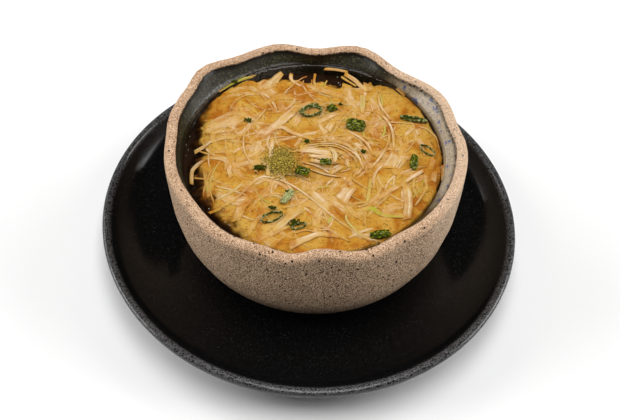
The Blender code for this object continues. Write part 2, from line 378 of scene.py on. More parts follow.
def specks(add, where, spacing, size, share):
    """A mask of round specks: cells of this spacing in mm, specks up to size mm across."""
    cells = add("TexVoronoi", out=None, Vector=where, Scale=1 / spacing, Randomness=1.0)
    grown = add("SeparateColor", Color=cells.outputs["Color"])
    chosen = add(
        "MapRange", STEP, Value=grown, From_Min=1 - share, From_Max=min(1.0, 1.02 - share * 0.3)
    )
    reach = add("Math", MULTIPLY, _0=chosen, _1=size / spacing / 2)
    beyond = add("Math", SUBTRACT, _0=cells.outputs["Distance"], _1=reach)
    return add("MapRange", STEP, Value=beyond, From_Min=0.02, From_Max=-0.06)


SPECKS = (
    # spacing and size (mm), share of the cells that hold one, colour: iron, burnt iron, quartz
    (1.15, 0.6, 0.55, "4A3220"), (2.6, 1.2, 0.55, "140A04"), (3.1, 0.6, 0.3, "F2E4C8"),
)
stoneware, shader, add = new_material("unglazed_stoneware")
where = place_in_mm(add)
height = add("SeparateXYZ", out="Z", Vector=where)
# Sand of about 0.4 mm, coarse so that it shows.
sand = add("TexNoise", Vector=where, Scale=2.3, Detail=3.0, Roughness=0.75)
clay = add("ValToRGB", Fac=sand, stops=[(0.42, "493223"), (0.5, "8F7459"), (0.58, "DABEA0")])
# The lighter ramp towards the rim's top is painted light, where the flat lip faces the boxes.
lit_lip = add("ValToRGB", Fac=sand, stops=[(0.41, "80603F"), (0.5, "BE9878"), (0.59, "E4C6A8")])
clay = fade(add, clay, lit_lip, (height, RIM - 3.2, RIM - 0.6))
for spacing, size, share, colour in SPECKS:
    clay = fade(add, clay, colour, strength=specks(add, where, spacing, size, share))

# %% Glaze that breaks from dark to pale
flat_way = add("VectorMath", MULTIPLY_ADD, _0=where, _1=(1, 1, 0), _2=-CENTRE)
outward = add("VectorMath", {"operation": "NORMALIZE"}, _0=flat_way)
patches = add("TexNoise", Vector=where, Scale=0.12, Detail=2.0)
to_right = add("VectorMath", DOT_PRODUCT, "Value", _0=outward, _1=towards(math.radians(12)))
to_right = add("Math", MULTIPLY_ADD, _0=patches, _1=0.25, _2=to_right)
towards_painted_streak = add("VectorMath", DOT_PRODUCT, "Value", _0=outward, _1=towards(math.radians(130)))

mottle = add("TexNoise", Vector=where, Scale=1.1, Detail=4.0, Roughness=0.75)
dark_glaze = add(
    "ValToRGB", Fac=mottle, stops=[(0.38, "18140C"), (0.52, "2C291C"), (0.66, "565036")]
)
dark_glaze = fade(add, dark_glaze, "8C7C5C", strength=specks(add, where, 1.5, 0.6, 0.4))
pale_glaze = add(
    "ValToRGB", Fac=mottle, stops=[(0.32, "766A58"), (0.48, "A2937E"), (0.7, "C4B49A")]
)
flecks = add("TexNoise", Vector=where, Scale=0.33, Detail=2.0)
pale_glaze = fade(add, pale_glaze, "4A5684", (flecks, 0.6, 0.69))
glaze = fade(add, dark_glaze, pale_glaze, (to_right, 0.78, 1.04))
# A grey streak just over the waterline at the back left, painted on the glaze: a painted
# reflection of the wet meniscus.
wavy = add("Math", MULTIPLY_ADD, _0=flecks, _1=1.2, _2=height)
glaze = fade(
    add, glaze, "74726E", (towards_painted_streak, 0.8, 0.9), (wavy, WATER + 2.1, WATER + 1.3),
    (mottle, 0.36, 0.6),
)

# %% Glaze over clay
# The glaze ends under the lip in a dripping edge, where it is thin and burnt dark.
drips = add("TexNoise", Vector=where, Scale=0.7, Detail=3.0)
edge = add("Math", MULTIPLY_ADD, _0=drips, _1=1.6, _2=height)
glaze = fade(add, glaze, "15110D", (edge, RIM - 2.4, RIM - 1.2), (mottle, 0.42, 0.56))
# The clay is painted paler towards the right: partly its own paler tone, partly painted light
# falling from the right.
clay = fade(add, clay, "E2CAB0", (to_right, 0.6, 1.05), strength=0.3)
inside = add("Attribute", {"attribute_name": "glazed"}, "Fac")
glaze_share = add(
    "MapRange", STEP, Value=edge, From_Min=RIM + 0.1, From_Max=RIM - 0.6, To_Max=inside
)
plug(
    shader, Specular_IOR_Level=0.25,
    Base_Color=fade(add, clay, glaze, strength=glaze_share),
    Roughness=add("MapRange", Value=glaze_share, To_Min=1.0, To_Max=0.3),
    Normal=add("Bump", Strength=0.35, Distance=0.25 * MM, Height=sand),
)
finish_piece(bowl, stoneware, "stoneware", "bowl")

# %% [markdown]
# ## Black glazed plate
# The plate is thrown stoneware under a satin black glaze. It shows its colour only as a soft
# reflection of the boxes. Grit under the glaze makes tiny bright points, most of them on the lip,
# where the glaze runs thin and the clay wears it through. The lip's lighter grey is partly that
# wear and partly a painted highlight on its rounded top.

# %% Black glaze material
black_glaze, shader, add = new_material("satin_black_glaze")
where = place_in_mm(add)
height = add("SeparateXYZ", out="Z", Vector=where)
grit = add("TexNoise", Vector=where, Scale=1.4, Detail=3.0, Roughness=0.7)
body = add("ValToRGB", Fac=grit, stops=[(0.4, "090909"), (0.6, "0D0D0D"), (0.7, "2E2D2E")])
# A lighter grey on the lip's top: partly glaze worn thin, partly a painted highlight.
body = fade(add, body, "5C5B5C", (height, PLATE_TOP - 2.2, PLATE_TOP - 0.3), (grit, 0.4, 0.58))
plug(
    shader, Base_Color=body, Specular_IOR_Level=0.32,
    Roughness=add("MapRange", Value=grit, To_Min=0.08, To_Max=0.18),
    Normal=add("Bump", Strength=0.12, Distance=0.1 * MM, Height=grit),
)
finish_piece(plate, black_glaze, "black_glaze", "plate")

# %% [markdown]
# ## Miso cloud
# Miso doesn't dissolve: it hangs in the dashi as a soft cloud that settles and rolls about, and
# at the bowl's edge the clear, dark broth shows beside it. The cloud is modelled as an opaque
# body of its own just under the surface. It falls away where the broth is clear, and its colour
# darkens with depth, as it does when one looks through more and more broth.

# %% The cloud's height
CLEAR = (
    # direction in degrees, radius where the cloud ends, how soft its border is (mm)
    (0, 60, 2), (44, 60, 2), (55, 53, 3), (65, 46, 3), (75, 42.5, 3), (90, 42.5, 3),
    (100, 44.5, 3), (108, 47, 3), (116, 50, 3), (130, 54, 3), (150, 54, 3), (160, 50.5, 3),
    (170, 46.5, 3), (180, 45, 3), (190, 45.5, 3), (200, 47, 3), (212, 47.5, 3), (225, 48, 3),
    (238, 50, 3), (248, 54, 2.5), (256, 60, 2), (360, 60, 2),
)
# The cloud falls away all along the wall, so a dark band of deep broth lies there: partly clear
# broth, partly a painted shade along the waterline.
WALL_GAP = 1.3  # clear broth between the cloud and the wall (mm)
INTO_WALL = 0.4  # the sheets end this far inside the stoneware (mm)


def between(table, place):
    """Values of a table at a place, straight between its rows."""
    for first, second in zip(table, table[1:]):
        if first[0] <= place <= second[0]:
            share = (place - first[0]) / (second[0] - first[0])
            return [a + (b - a) * share for a, b in zip(first[1:], second[1:])]
    return table[-1][1:]


def cloud_height(x, y):
    """Height of the cloud in mm at a point of the soup."""
    turn, radius = around(x, y)
    end, soft = between(CLEAR, math.degrees(turn) % 360)
    wisp = noise.fractal(Vector((x, y, 3.0)) * 0.2, 1.0, 2.0, 3) * 3.0
    gap = radius_at(wall, turn) - radius + wisp * 0.25
    # Near the wall the cloud drops into dark depth colour: partly clear broth, partly painted
    # shade at the waterline.
    fall = max(0.0, (radius + wisp - end) / soft, (WALL_GAP - gap) * 1.6)
    roll = noise.fractal(Vector((x, y, 0.0)) * 0.09, 1.0, 2.0, 3) * 0.21
    return max(WATER - 5.5, WATER - 0.4 + roll - min(fall, 3.0) ** 1.3 * 1.6)


def disc_sheet(name, steps):
    """A square grid drawn round, into the bowl's inner outline."""
    sheet = start_piece(
        name, bpy.ops.mesh.primitive_grid_add, x_subdivisions=steps, y_subdivisions=steps, size=2
    )
    for vertex in sheet.data.vertices:
        u, v = vertex.co.x, vertex.co.y
        x, y = u * math.sqrt(1 - v * v / 2), v * math.sqrt(1 - u * u / 2)
        turn = math.atan2(y, x)
        radius = math.hypot(x, y) * (radius_at(wall, turn) + INTO_WALL)
        vertex.co = Vector((*spot_at(turn, radius), WATER)) * MM
    return sheet


def close_below(sheet, depth):
    """Extrudes the sheet's border down and fills it, so that it is a closed body."""
    activate(sheet)
    bpy.ops.object.mode_set(mode="EDIT")
    bpy.ops.mesh.select_all(action="DESELECT")
    bpy.ops.mesh.select_mode(type="EDGE")
    bpy.ops.mesh.select_non_manifold()
    bpy.ops.mesh.extrude_region_move(TRANSFORM_OT_translate={"value": (0, 0, -depth * MM)})
    bpy.ops.transform.resize(value=(0.97, 0.97, 0), center_override=(0, 0, (WATER - depth) * MM))
    bpy.ops.mesh.edge_face_add()
    turn_outwards()
    bpy.ops.object.shade_smooth()


cloud = disc_sheet("miso_cloud", 150)
for vertex in cloud.data.vertices:
    vertex.co.z = cloud_height(vertex.co.x / MM, vertex.co.y / MM) * MM
close_below(cloud, 8)

# %% Miso cloud material


def cloud_tone(add):
    """The cloud's colour at a point just under the surface: swirls of about 15 mm, orange and
    cream, with finer grains of 1 to 2 mm."""
    where = place_in_mm(add)
    swirl = add("TexNoise", Vector=where, Scale=0.07, Detail=5.0, Roughness=0.62, Distortion=1.2)
    tone = add(
        "ValToRGB", Fac=swirl,
        stops=[(0.36, "AA6616"), (0.43, "BA8026"), (0.53, "C29238"), (0.62, "CAA24C"),
               (0.71, "BC7418")],
    )
    grains = add("TexNoise", Vector=where, Scale=0.62, Detail=5.0, Roughness=0.75, Distortion=0.6)
    tone = fade(add, tone, "84520E", (grains, 0.52, 0.66), strength=0.8)
    return fade(add, tone, "CEAA66", (grains, 0.46, 0.3), strength=0.5)


miso, shader, add = new_material("miso_in_dashi")
height = add("SeparateXYZ", out="Z", Vector=place_in_mm(add))
tone = fade(add, cloud_tone(add), "54300C", (height, WATER - 1.0, WATER - 3.0))
tone = fade(add, tone, "281608", (height, WATER - 2.4, WATER - 4.4))
plug(
    shader, Base_Color=tone, Roughness=0.6, Specular_IOR_Level=0.1, Subsurface_Weight=0.4,
    Subsurface_Radius=(1.0, 0.6, 0.3), Subsurface_Scale=1.5 * MM,
)
finish_piece(cloud, miso, "broth", "soup")

# %% [markdown]
# ## Broth surface
# The clear broth is a thin skin over the cloud that climbs a little where it wets the wall.
# Its look is all in the reflection, so the material mixes a clear shader and a mirror. Water
# mirrors 2% of the light that meets it straight on and nearly all that grazes it, which is the
# facing value to the fifth power. A Fresnel node would also turn back light that comes up
# through the skin, and leave what lies under it dark.

# %% The surface and its meniscus
broth = disc_sheet("broth_surface", 110)
MENISCUS_HEIGHT, MENISCUS_WIDTH = 0.9, 1.3
for vertex in broth.data.vertices:
    turn, radius = around(vertex.co.x / MM, vertex.co.y / MM)
    gap = radius_at(wall, turn) + INTO_WALL - radius
    vertex.co.z += MENISCUS_HEIGHT * math.exp(-gap / MENISCUS_WIDTH) * MM
close_below(broth, 7)

wet, shader, add = new_material("clear_dashi")
wet.node_tree.nodes.remove(shader)
ripple = add("TexNoise", Vector=place_in_mm(add), Scale=0.25, Detail=2.0)
bump = add("Bump", Strength=0.15, Distance=0.6 * MM, Height=ripple)
grazing = add("LayerWeight", out="Facing", Blend=0.5, Normal=bump)
steep = add("Math", {"operation": "POWER"}, _0=grazing, _1=5.0)
surface = add(
    "MixShader",
    Fac=add("MapRange", Value=steep, To_Min=0.02, To_Max=1.0),
    _1=add("BsdfTransparent", Color="FFFDF8"),
    _2=add("BsdfGlossy", Roughness=0.04, Normal=bump),
)
plug(wet.node_tree.nodes["Material Output"], Surface=surface)
finish_piece(broth, wet, "broth")

# %% [markdown]
# ## Shreds of leek
# White leek is cut into ribbons along its fibres. A ribbon is a grid laid along a smooth line,
# thickened and rounded. Boiled leek is nearly glassy, and where it hangs under the surface the
# miso covers it. So each point of a ribbon has a share of cover: where it is low, the ribbon
# shows the cloud's own colour, computed at the same place, and so it sinks away softly.

# %% Leek material
leek, shader, add = new_material("wet_boiled_leek")
along = add("UVMap", {"uv_map": "UVMap"})
# Fibres about a millimetre wide and twelve times as long.
fibres = add(
    "TexNoise", Scale=1.0, Detail=3.0, Roughness=0.65,
    Vector=add("Mapping", Vector=along, Scale=(0.08, 1.0, 1.0)),
)
flesh = add("ValToRGB", Fac=fibres, stops=[(0.34, "B6925E"), (0.5, "CEAC7E"), (0.66, "DEC6A6")])
green = add("Attribute", {"attribute_name": "green"}, "Fac")
flesh = fade(add, flesh, fade(add, "8E8A0A", "B8BA44", strength=fibres), strength=green)
murk = add("TexNoise", Vector=place_in_mm(add), Scale=0.35, Detail=3.0, Roughness=0.6)
uneven = add("Math", ADD, _0=murk, _1=fibres)
cover = add("Attribute", {"attribute_name": "cover"}, "Fac")
cover = add("Math", ADD, _0=cover, _1=add("Math", SUBTRACT, _0=uneven, _1=1.0))
flesh = fade(add, "CEA872", flesh, (cover, 0.25, 0.8))
flesh = fade(add, cloud_tone(add), flesh, (cover, 0.0, 0.9))
plug(
    shader, Base_Color=flesh, Roughness=0.5, Specular_IOR_Level=0.08,
    Normal=add("Bump", Strength=0.3, Distance=0.2 * MM, Height=fibres),
)

# %% Lay a ribbon along a line
WAVE = 0.12  # how far a ribbon rises and dips along its line (mm)


def smooth_route(points, step):
    """Points about a step apart on a smooth line through the given ones."""
    points = [Vector(point) for point in points]
    line = []
    for a, b, c, d in zip([points[0], *points], points, points[1:], [*points[2:], points[-1]]):
        pieces = max(2, round((c - b).length / step))
        for i in range(pieces):
            t = i / pieces
            line.append(
                0.5 * (2 * b + (c - a) * t + (2 * a - 5 * b + 4 * c - d) * t * t
                       + (3 * b - a - 3 * c + d) * t * t * t)
            )
    return line + [points[-1]]


def clamped(value):
    return max(0.0, min(1.0, value))


def ribbon(name, route, width, end_width, lift, thick, cover, green, seed, step=1.2):
    """A shred of leek. The route and all sizes are in mm. Its lift over the cloud is given for
    its start, middle and end, and its cover for its start and end."""
    end_width = end_width or width
    line = smooth_route([(x, y, 0) for x, y in route], step)
    along, across = len(line) - 1, 4 if max(width, end_width) > 1.6 else 2
    piece = start_piece(
        name, bpy.ops.mesh.primitive_grid_add, x_subdivisions=along, y_subdivisions=across, size=1
    )
    mesh = piece.data
    stretch = [0.0]
    for a, b in zip(line, line[1:]):
        stretch.append(stretch[-1] + (b - a).length)
    for corner in mesh.uv_layers.active.data:
        u, v = corner.uv
        corner.uv = (stretch[round(u * along)] + seed * 7.0, (v - 0.5) * width + seed * 3.1)
    shares = []
    for vertex in mesh.vertices:
        i, s = round((vertex.co.x + 0.5) * along), vertex.co.y * 2
        t = stretch[i] / stretch[-1]
        heading = (line[min(i + 1, along)] - line[max(i - 1, 0)]).normalized()
        sideways = Vector((-heading.y, heading.x, 0))
        half = (width + (end_width - width) * t) / 2
        half *= 1 + 0.22 * noise.noise(Vector((stretch[i] * 0.25, seed * 1.7, s * 0.6)))
        slant = 0.45 * half * s * (1 if seed % 2 else -1) * (2 * t - 1)
        level = (
            lift[0] * (1 - t) * (1 - 2 * t) + lift[1] * 4 * t * (1 - t) + lift[2] * t * (2 * t - 1)
        )
        level += WAVE * noise.noise(Vector((stretch[i] * 0.13, seed * 2.3, 0)))
        level += WAVE * 0.5 * s * noise.noise(Vector((stretch[i] * 0.09, seed * 5.1, 4)))
        level -= 0.06 * half * s * s
        spot = line[i] + sideways * half * s + heading * slant
        bed = max(cloud_height(spot.x, spot.y), WATER - 1.2) + 0.1
        vertex.co = Vector((spot.x, spot.y, bed + level)) * MM
        share = cover[0] + (cover[1] - cover[0]) * t
        ends = min(clamped(0.25 + t * 4), clamped(0.25 + (1 - t) * 4))
        shares.append(share * ends * (1 - 0.25 * s * s))
    write_values(piece, "green", [green] * len(shares))
    write_values(piece, "cover", shares)
    modify(
        piece, "SOLIDIFY", thickness=thick * MM, offset=0.0,
        edge_crease_inner=0.5, edge_crease_outer=0.5, edge_crease_rim=0.6,
    )
    smooth_surface(piece, 1)
    return piece


def join(name, pieces):
    """Joins pieces to one object with this name."""
    activate(pieces[0])
    for piece in pieces:
        piece.select_set(True)
    bpy.ops.object.join()
    pieces[0].name = pieces[0].data.name = name
    return pieces[0]


# %% [markdown]
# ## The broad ribbons
# These are the ribbons that the CAD model has as solids. Each line is written again here, and
# the finished piece is moved over its node, which keeps the last word on where it lies.

# %% Broad ribbons
BROAD = (
    # node, width at start and end, line, lift over the cloud, cover at start and end, green
    ("leek_fan_back_left", 2.6, 8.5, ((-15.9, 51.5), (-20.4, 44), (-24.4, 35.5)),
     (0.4, 0.1, -0.1), (0.85, 0.55), 0.1),
    ("leek_strip_centre_left", 4.5, 4, ((-25.4, 6.5), (-17.4, 15), (-11.9, 22), (-7.4, 28.5)),
     (0, 0.3, 0.2), (0.45, 0.75), 0),
    ("leek_strip_left", 4.6, 6.5, ((-45.4, 11), (-37.4, 15.5), (-29.9, 18)),
     (0.2, 0.2, 0), (0.7, 0.5), 0),
    ("leek_strip_left_low", 2.6, 1.6, ((-44.4, 4), (-38.9, 6.5), (-32.4, 7)),
     (0.2, 0.2, 0), (0.5, 0.45), 0),
    ("leek_loop_left", 1.4, 2.2, ((-49.4, -21), (-49.9, -13), (-45.4, -7)),
     (0.2, 0.4, 0.2), (0.55, 0.7), 0),
    ("leek_strip_front_left", 3.5, 3.5, ((-30.4, -40), (-27.9, -32), (-22.9, -25.5)),
     (0.1, 0.2, -0.2), (0.55, 0.2), 0),
    ("leek_strip_front", 2.6, 5.5, ((-13.4, -45.5), (-8.4, -39.5), (-1.9, -31.5)),
     (0.2, 0.3, 0), (0.7, 0.35), 0.2),
    ("leek_strip_centre", 3.4, 4, ((1.1, -22.5), (6.1, -28), (11.6, -36)),
     (0.4, 0.3, -0.2), (0.95, 0.15), 0),
    ("leek_block_centre", 6, 5, ((13.6, -29), (17.6, -20.5)), (0.2, 0.3, 0.1), (0.75, 0.85), 0),
    ("leek_strip_low", 1.4, 3.8, ((16.1, -47.5), (5.6, -46), (-0.9, -49), (-6.9, -53)),
     (-0.1, 0.3, 0.3), (0.3, 0.8), 0),
    ("leek_strip_right", 3, 4, ((40.6, -16), (41.6, -26), (40.6, -36.5)),
     (0.1, 0.3, 0.2), (0.55, 0.8), 0.12),
    ("leek_block_right", 6, 6, ((33.1, -7), (37.1, 1.5)), (0.2, 0.3, 0.2), (0.65, 0.75), 0.1),
    ("leek_piece_back", 3.6, 2.6, ((7.1, 12.5), (9.6, 19.5)), (0.3, 0.3, 0), (0.85, 0.35), 0),
    ("leek_strip_back", 2.4, 2.2, ((14.6, 52), (19.6, 47.5), (25.1, 39.5)),
     (0.5, 0.4, 0.1), (0.75, 0.6), 0),
)
for seed, (node, start, end, route, lift, cover, green) in enumerate(BROAD):
    piece = ribbon(node + "_shred", route, start, end, lift, 0.3, cover, green, seed)
    ends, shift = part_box(node), Vector((0, 0, 0))
    for k in (0, 1):
        spread = [v.co[k] for v in piece.data.vertices]
        shift[k] = (ends[0][k] + ends[1][k] - min(spread) - max(spread)) / 2
    piece.data.transform(Matrix.Translation(shift))
    finish_piece(piece, leek, "leek", node)

# %% [markdown]
# ## Fine threads
# Most of the leek is cut far finer, to threads that curl. The longest are laid one by one; the
# others follow arcs from a seeded random generator, so every run is the same.

# %% Long threads
THREADS = (
    # line, width, lift over the cloud, cover at start and end, green
    (((-27, 4), (-22, 11), (-14, 14.6), (-8, 11), (2, 7.5)), 2.6, (0, 0.3, 0.1), (0.5, 0.6), 0),
    (((-29, 10), (-25, 18), (-20, 27)), 1.1, (0, 0.2, 0.1), (0.7, 0.55), 0),
    (((-22, 27), (-22, 16), (-24, 9)), 1.0, (0, 0, 0), (0.35, 0.35), 0),
    (((-15, 34), (-10, 41), (-6, 47), (-3, 49)), 0.6, (0, 0.2, 0.2), (0.4, 0.55), 0),
    (((-12, 21), (-7, 26), (-1, 31.5)), 3.4, (0, 0.2, 0.1), (0.4, 0.6), 0),
    (((-17, 7.5), (-17.4, -4), (-18, -15)), 1.9, (0.2, 0.4, 0.5), (0.9, 0.95), 0),
    (((-20.4, 26), (-26, 20), (-29.4, 10), (-29, 0), (-25, -9), (-22, -14)), 0.9,
     (0, 0.15, 0.2), (0.5, 0.75), 0),
    (((-41, -36), (-33, -31), (-28, -25), (-24, -19), (-20, -15.5), (-13, -17), (-6, -21),
      (2, -28), (10, -36), (17, -42)), 1.3, (0.0, 0.3, 0.1), (0.5, 0.85), 0.05),
    (((17, -42), (24, -47), (31, -48.5)), 1.3, (0.1, 0.2, 0.1), (0.6, 0.5), 0.1),
    (((-45, 9.5), (-37, 11), (-30, 13)), 2.0, (0.1, 0.1, 0), (0.45, 0.5), 0),
    (((-50.5, -2), (-47, 1), (-43, 5)), 1.9, (0.2, 0.4, 0.2), (0.8, 0.6), 0),
    (((-43, -2), (-38, -1.5), (-33, -3)), 2.4, (0, 0.1, 0), (0.45, 0.3), 0),
    (((-45, -12), (-43.5, -20), (-42, -27)), 2.0, (-0.2, 0.0, -0.2), (0.4, 0.55), 0.9),
    (((-25, -48), (-20, -38), (-15, -33), (-12, -28)), 2.4, (0, 0.1, 0), (0.5, 0.3), 0),
    (((-21, -35), (-16, -32), (-11, -33)), 3.4, (0, 0.1, 0), (0.3, 0.3), 0.1),
    (((22.6, 38), (22.8, 31), (22.4, 25)), 2.4, (0, 0.2, 0.1), (0.7, 0.75), 0.45),
    (((-20, -46), (-13, -40), (-7, -35), (-1.3, -29.6)), 3.4, (0, 0.2, 0), (0.35, 0.7), 0.1),
    (((-21, -51), (-14, -46), (-7, -41)), 3.0, (0, 0.1, 0), (0.35, 0.45), 0),
    (((4.4, 10.5), (7.6, 15)), 3.8, (0, 0.1, 0), (0.4, 0.65), 0),
    (((26, 36), (29, 26.5)), 2.0, (0, 0.1, 0), (0.6, 0.55), 0),
    (((30, 38), (31, 30), (35.5, 21.5)), 1.2, (0, 0.2, 0.1), (0.65, 0.7), 0),
    (((22, 27), (29, 26), (34, 20), (36, 12), (36, 2)), 1.2, (0, 0.3, 0.2), (0.4, 0.7), 0.1),
    (((34.5, 16), (34, 8), (31, 0), (26, -9)), 1.1, (0, 0.3, 0.2), (0.45, 0.7), 0.1),
    (((15, 14), (20, 11), (25, 5), (27, -1)), 1.5, (0.2, 0.3, 0.2), (0.75, 0.5), 0),
    (((19, 9.4), (24, 7), (30, 4.4)), 0.7, (0, 0.2, 0), (0.6, 0.5), 0),
    (((6.6, -19.6), (10, -15.6)), 0.9, (0.1, 0.2, 0.1), (0.6, 0.6), 0),
    (((26, -13), (25.4, -20), (24, -29)), 1.5, (0, 0.2, 0.1), (0.6, 0.6), 0.85),
    (((17, -32), (15.5, -37), (20, -44), (26, -49)), 1.0, (0, 0.3, 0.1), (0.6, 0.7), 0.6),
    (((41, -34.5), (31, -34.5), (26, -31), (20, -32.5)), 2.2, (0.2, 0.2, 0.0), (0.75, 0.5), 1.0),
    (((24, -36), (28, -30), (34, -23)), 1.2, (0, 0.1, 0), (0.4, 0.5), 0.6),
    (((8, -26), (16, -29), (24, -28), (31, -31)), 1.6, (0, 0.1, 0), (0.45, 0.55), 0.8),
    (((45, -11), (44, -18), (45.5, -25)), 1.4, (0, 0.2, 0.1), (0.65, 0.5), 0.7),
    (((50, -14), (48, -22), (44, -29)), 1.0, (0, 0.2, 0.1), (0.6, 0.6), 0.4),
    (((57.4, -5), (57.0, -17)), 2.2, (1.0, 0.9, 0.8), (0.55, 0.6), 0.3),
    (((49.4, -10), (49.6, -21)), 1.8, (0, 0.2, 0.1), (0.5, 0.3), 0.2),
    (((53.5, -9), (52.5, -15)), 2.4, (0, 0.2, 0.1), (0.55, 0.5), 0),
    (((41, 12), (46, 17.5)), 2.2, (0, 0.1, 0.1), (0.6, 0.5), 0),
    (((46, 18), (51, 16.5), (55, 11), (56.6, 2)), 0.8, (0.1, 0.3, 0.3), (0.6, 0.4), 0),
    (((24, -29.5), (32, -22.5), (40, -16)), 3.0, (0, 0.1, 0.1), (0.3, 0.55), 0),
    (((40, -16), (44, -12.6), (48.5, -9)), 2.0, (0.2, 0.4, 0.4), (0.7, 1.0), 0),
    (((36, -7), (38.5, -13)), 4.4, (0, 0.1, 0), (0.45, 0.25), 0),
    (((23, 54.3), (32, 50.5), (37.5, 44), (42, 38)), 1.2, (0.2, 0.3, 0.2), (0.6, 0.55), 0),
    (((5, 54.8), (10, 54.4), (16, 53)), 1.8, (0.2, 0.3, 0.3), (0.5, 0.75), 0),
    (((13, 50), (16, 47), (20, 44)), 1.2, (-0.1, 0, -0.1), (0.6, 0.4), 0.9),
    (((9, 19), (13, 24), (18, 30)), 2.6, (0, 0, 0), (0.4, 0.2), 0),
    (((-43, 36), (-36, 42.4), (-28, 47)), 0.9, (0.7, 0.8, 0.7), (0.8, 0.9), 1.0),
    (((-40, 39.5), (-34, 44.6), (-27, 48)), 0.8, (0.7, 0.9, 0.7), (0.9, 0.7), 0.9),
    (((0, -43), (6, -42), (12, -46), (17, -49)), 1.2, (0, 0.2, 0), (0.4, 0.6), 0),
    (((3, -44), (9, -43.5), (14, -48)), 0.9, (0, 0.3, 0), (0.5, 0.6), 0),
    (((-6, -46), (0, -44), (8, -47)), 1.0, (0, 0.2, 0), (0.4, 0.6), 0),
    (((-13, -14), (-6, -14), (0, -17)), 1.0, (0.2, 0.4, 0.2), (0.7, 0.6), 0.2),
)
threads = [
    ribbon(f"thread_{i}", route, width, width * 0.8, lift, 0.25, cover, green, 40 + i)
    for i, (route, width, lift, cover, green) in enumerate(THREADS)
]
finish_piece(join("leek_long_threads", threads), leek, "leek")

# %% [markdown]
# ## The nest
# In the middle the threads heap up to a loose nest. A low lumpy core carries it, a flattened
# ball whose border has the cloud's colour and so never shows. Over it lie pale strips of leek
# and threads that curl round the far side. Both pieces stand for the CAD's nest.

# %% Nest core
nest_low, nest_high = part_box("leek_nest")
NEST_CENTRE = (nest_low + nest_high) / 2 / MM
NEST_RADII = (nest_high - nest_low) / 2 / MM
NEST_TOP = nest_high.z / MM - WATER


def nest_height(x, y):
    """Height over the water of the heap at a point, in mm."""
    reach = math.hypot((x - NEST_CENTRE.x) / NEST_RADII.x, (y - NEST_CENTRE.y) / NEST_RADII.y)
    return max(0.0, 1 - reach**2) * (NEST_TOP - 1.0) * 0.8


core = start_piece(
    "leek_nest_core", bpy.ops.mesh.primitive_uv_sphere_add, segments=40, ring_count=20, radius=1
)
for vertex in core.data.vertices:
    x = NEST_CENTRE.x + vertex.co.x * NEST_RADII.x * 0.98
    y = NEST_CENTRE.y + vertex.co.y * NEST_RADII.y * 0.98
    over = max(0.0, vertex.co.z)
    lump = 0.5 * over * noise.noise(Vector((x * 0.25, y * 0.5, 2.0)))
    under = min(0.0, vertex.co.z) * 0.6
    vertex.co = Vector((x, y, WATER - 0.6 + nest_height(x, y) * 0.95 + lump + under)) * MM
bpy.ops.object.shade_smooth()
write_values(
    core, "cover",
    [0.55 * clamped((v.co.z / MM - WATER + 0.4) * 0.7) for v in core.data.vertices],
)

# %% Threads of the nest
NEST = (
    # line, width, lift over the heap, cover at start and end, green
    (((-6, 9), (-1, 8.5), (9, 9.8), (15, 11), (19, 10), (24, 3.5), (27, -4)), 0.7, 0.06,
     (0.42, 0.68), 0),
    (((-5, 6.5), (2, 7.4), (9, 8), (15, 7.6), (20, 4), (23.5, -2), (25, -9)), 0.6, 0.11,
     (0.42, 0.68), 0),
    (((7, 7), (12, 6.8), (16.5, 4.5), (20.5, -1), (23, -10)), 0.7, 0.28, (0.42, 0.81), 0),
    (((-5, 2), (1, 4), (7, 5), (12, 4.4), (17, 1.5), (21, -3), (23, -10)), 0.8, 0.33,
     (0.59, 0.81), 0),
    (((1, 5.5), (8, 6.2), (14, 5.4), (19, 1), (22, -5)), 0.5, 0.22, (0.51, 0.68), 0),
    (((4, 3.2), (10, 3.3), (15, 1), (19, -3.5), (21, -9)), 0.6, 0.33, (0.59, 0.51), 0),
    (((8, 8.6), (14, 9), (19, 6), (23, 1), (26, -5)), 0.5, 0.06, (0.34, 0.68), 0),
    (((12, 5.6), (17, 3.6), (20, 0), (22.4, -6)), 0.5, 0.17, (0.51, 0.59), 0.1),
    (((-5, 1), (0, 0.4), (5, -1), (9, -1.4)), 3.6, 0.33, (0.85, 0.75), 0),
    (((-1, -3), (5, -3.6), (10, -2.4)), 1.7, 0.28, (0.7, 0.9), 0),
    (((0, -5.6), (6, -7), (12, -6)), 1.9, 0.22, (0.8, 0.85), 0),
    (((1, -8), (6, -10), (11, -10.5)), 1.3, 0.22, (0.7, 0.8), 0),
    (((8.6, 2.4), (10.6, -2), (10.4, -7)), 1.8, 0.55, (0.85, 0.9), 0.12),
    (((-1, -10.5), (6.5, -13.5), (13, -14.5)), 0.8, 0.22, (0.68, 0.81), 0),
    (((8.4, -12.6), (13.4, -8)), 3.0, 0.17, (0.55, 0.75), 0),
    (((15.4, -3), (16.6, -9)), 1.5, 0.17, (0.65, 0.5), 0),
    (((-3, -7), (3, -9), (9, -13)), 1.0, 0.17, (0.6, 0.85), 0),
    (((6, 1.4), (12, 0), (17, -4)), 1.0, 0.17, (0.5, 0.6), 0),
    (((3, -4.6), (8, -4.4), (13, -1.4)), 0.6, 0.44, (0.77, 0.59), 0),
)
strands = [
    ribbon(f"nest_{i}", route, width, None,
           [nest_height(*route[k]) + lift for k in (0, len(route) // 2, -1)],
           0.2 if width < 1 else 0.3, cover, green, 90 + i)
    for i, (route, width, lift, cover, green) in enumerate(NEST)
]
rng = random.Random(17)
